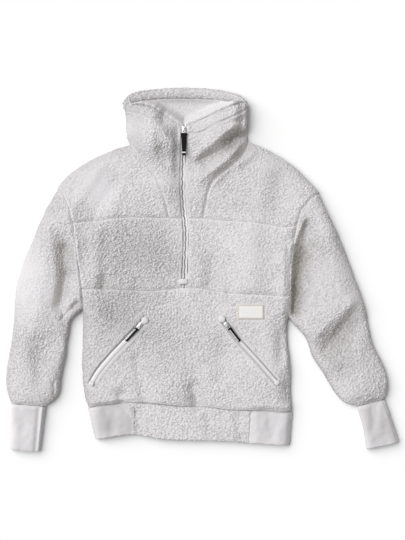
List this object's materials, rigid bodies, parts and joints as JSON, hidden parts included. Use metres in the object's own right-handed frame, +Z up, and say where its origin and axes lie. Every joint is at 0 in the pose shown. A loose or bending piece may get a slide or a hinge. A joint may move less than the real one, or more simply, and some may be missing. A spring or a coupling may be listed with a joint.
{
  "type": "fleece pullover",
  "caption": "Sherpa fleece pullover laid flat, front up: yoke, stand-up collar with half zip, lower front panel with slanted pocket zips, knit cuffs and hem band, bare label.",
  "frame": {"origin": "centre of the garment's bounding box, on the surface that it lies on", "axes": "+X to the right as seen from the front, along the spread sleeves; +Y from hem to collar; +Z up, out of the front of the garment"},
  "size_m": [0.9239, 0.8537, 0.0614],
  "materials": {
    "fleece": "off-white curly sherpa pile, matt",
    "knit": "smooth fine knit, matt",
    "lining": "short brushed pile, matt",
    "zip_cloth": "white woven zip tape and patches",
    "slider_metal": "polished silver",
    "pull_rubber": "satin black",
    "label_cloth": "cream woven label, bare"
  },
  "bodies": {
    "garment": {"back_panel": "fleece", "yoke_left": "fleece", "yoke_right": "fleece", "chest_left": "fleece", "chest_right": "fleece", "lower_front": "fleece", "sleeve_left": "fleece", "sleeve_right": "fleece", "collar_front_left": "fleece", "collar_front_right": "fleece", "collar_back": "fleece", "collar_facing": "fleece", "hem_front": "fleece", "hem_band": "knit", "cuff_left": "knit", "cuff_right": "knit", "collar_lining": "lining", "zip_tape_left": "zip_cloth", "zip_tape_right": "zip_cloth", "zip_tack": "zip_cloth", "pocket_tape_left": "zip_cloth", "pocket_tape_right": "zip_cloth", "pocket_patch_left": "zip_cloth", "pocket_patch_right": "zip_cloth", "pocket_end_left": "zip_cloth", "pocket_end_right": "zip_cloth", "centre_slider": "slider_metal", "pocket_left_slider": "slider_metal", "pocket_right_slider": "slider_metal", "label": "label_cloth"},
    "zip_pull": {"centre_pull_link": "slider_metal", "centre_pull_tab": "pull_rubber"},
    "pocket_pull_left": {"pocket_left_pull_link": "slider_metal", "pocket_left_pull_tab": "pull_rubber"},
    "pocket_pull_right": {"pocket_right_pull_link": "slider_metal", "pocket_right_pull_tab": "pull_rubber"}
  },
  "joints": [
    {"name": "zip_pull_hinge", "type": "hinge", "parent": "garment", "child": "zip_pull", "pos_m": [-0.04307, 0.32556, 0.03536], "axis": [-0.9999, -0.0005, -0.017], "range_deg": [0, 150]},
    {"name": "pocket_pull_left_hinge", "type": "hinge", "parent": "garment", "child": "pocket_pull_left", "pos_m": [-0.14624, -0.12976, 0.03032], "axis": [-0.7418, 0.6706, -0.0088], "range_deg": [0, 150]},
    {"name": "pocket_pull_right_hinge", "type": "hinge", "parent": "garment", "child": "pocket_pull_right", "pos_m": [0.0573, -0.12874, 0.03189], "axis": [-0.7819, -0.6221, 0.0399], "range_deg": [0, 150]}
  ]
}
